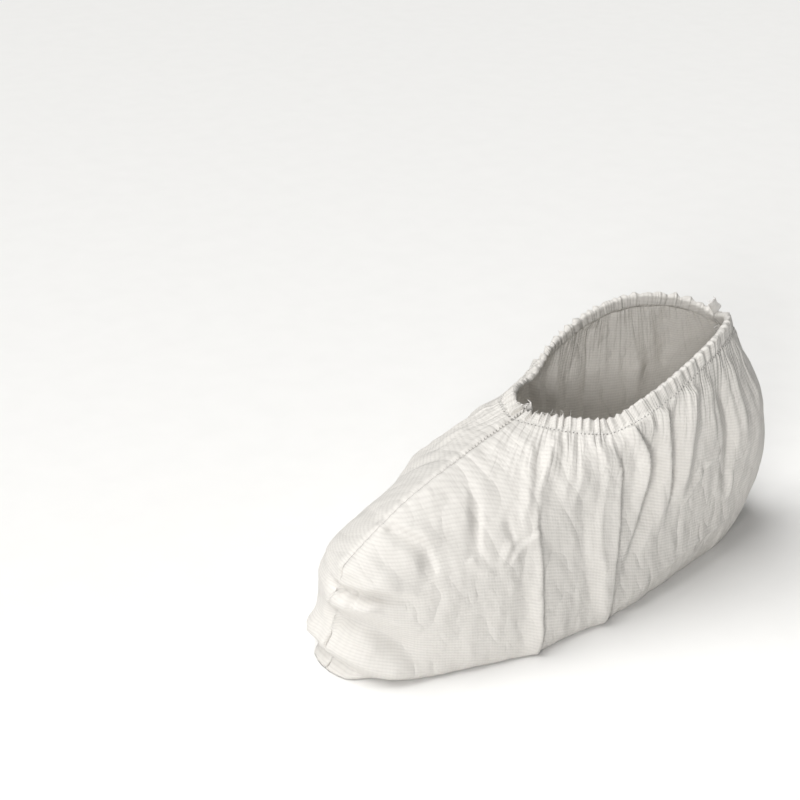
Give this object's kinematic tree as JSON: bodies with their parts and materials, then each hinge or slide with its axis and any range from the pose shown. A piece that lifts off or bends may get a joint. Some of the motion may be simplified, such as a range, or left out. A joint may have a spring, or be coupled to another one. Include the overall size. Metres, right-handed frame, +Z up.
{
  "type": "disposable boot cover",
  "caption": "Low slip-on cover of thin nonwoven cloth for a work boot, with a gathered elastic mouth and one seam round the middle.",
  "frame": {"origin": "middle of the cover's footprint, on the surface that the sole stands on", "axes": "+Z up, -Y towards the toe, +X towards the wearer's left when worn, out of the right-hand panel as seen with the toe pointing at the viewer's left"},
  "size_m": [0.1212, 0.3194, 0.1461],
  "materials": {
    "nonwoven_cloth": "thin white flash-spun nonwoven sheet, finely ribbed, slightly translucent, with a paper-like sheen and crisp creases",
    "elastic": "matt white braided elastic, hidden in the hem",
    "seam_edge": "cut ends of the seam with white thread, frayed"
  },
  "bodies": {
    "root": {"right_panel": "nonwoven_cloth", "left_panel": "nonwoven_cloth", "elastic_band": "elastic", "heel_seam_end": "seam_edge", "instep_seam_end": "seam_edge"}
  },
  "joints": []
}
